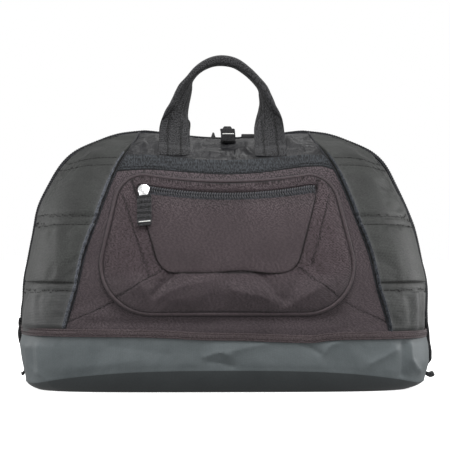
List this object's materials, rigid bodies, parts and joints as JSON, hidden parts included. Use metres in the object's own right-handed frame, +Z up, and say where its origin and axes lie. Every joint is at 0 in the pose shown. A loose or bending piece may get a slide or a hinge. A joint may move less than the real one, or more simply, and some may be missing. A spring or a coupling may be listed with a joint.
{
  "type": "gear bag",
  "caption": "Soft domed gear bag for a helmet, with a coated tub base, quilted side wings, a zip over the arch, a piped front pocket and a webbing carry handle.",
  "frame": {"origin": "on the floor, under the middle of the zip arch, at the centre of the tub's flat foot", "axes": "+X to the right when facing the pocket, -Y out of the front pocket, +Z up"},
  "size_m": [0.4398, 0.2876, 0.3508],
  "materials": {
    "tarpaulin": "coated tarpaulin cloth, satin",
    "polyester": "brown-black canvas weave polyester, matte",
    "yoke_weave": "black ribbed weave, matte",
    "top_cloth": "black coated cloth with a soft sheen",
    "pack_cloth": "padded black pack cloth with a soft sheen",
    "piping": "covered piping cord",
    "zip_tape": "black herringbone zip tape",
    "zip_coil": "black nylon coil",
    "webbing": "black woven webbing",
    "dark_metal": "black painted die-cast metal",
    "bright_metal": "bright plated metal"
  },
  "bodies": {
    "root": {"base_tub": "tarpaulin", "base_trim": "polyester", "front_panel": "polyester", "yoke_band": "yoke_weave", "top_panel": "top_cloth", "wing_left": "pack_cloth", "wing_right": "pack_cloth", "back_shell": "pack_cloth", "main_zip_tape": "zip_tape", "main_zip_coil": "zip_coil", "main_zip_slider_right": "dark_metal", "main_zip_slider_left": "dark_metal", "main_zip_pull": "webbing", "zip_end_tab_left": "webbing", "zip_end_tab_right": "webbing", "pocket_piping": "piping", "pocket_front": "polyester", "pocket_tongue": "polyester", "pocket_zip_tape": "zip_tape", "pocket_zip_coil": "zip_coil", "pocket_zip_slider": "dark_metal", "pocket_zip_pull_tab": "bright_metal", "pocket_zip_pull": "webbing", "handle_strap": "webbing"}
  },
  "joints": []
}
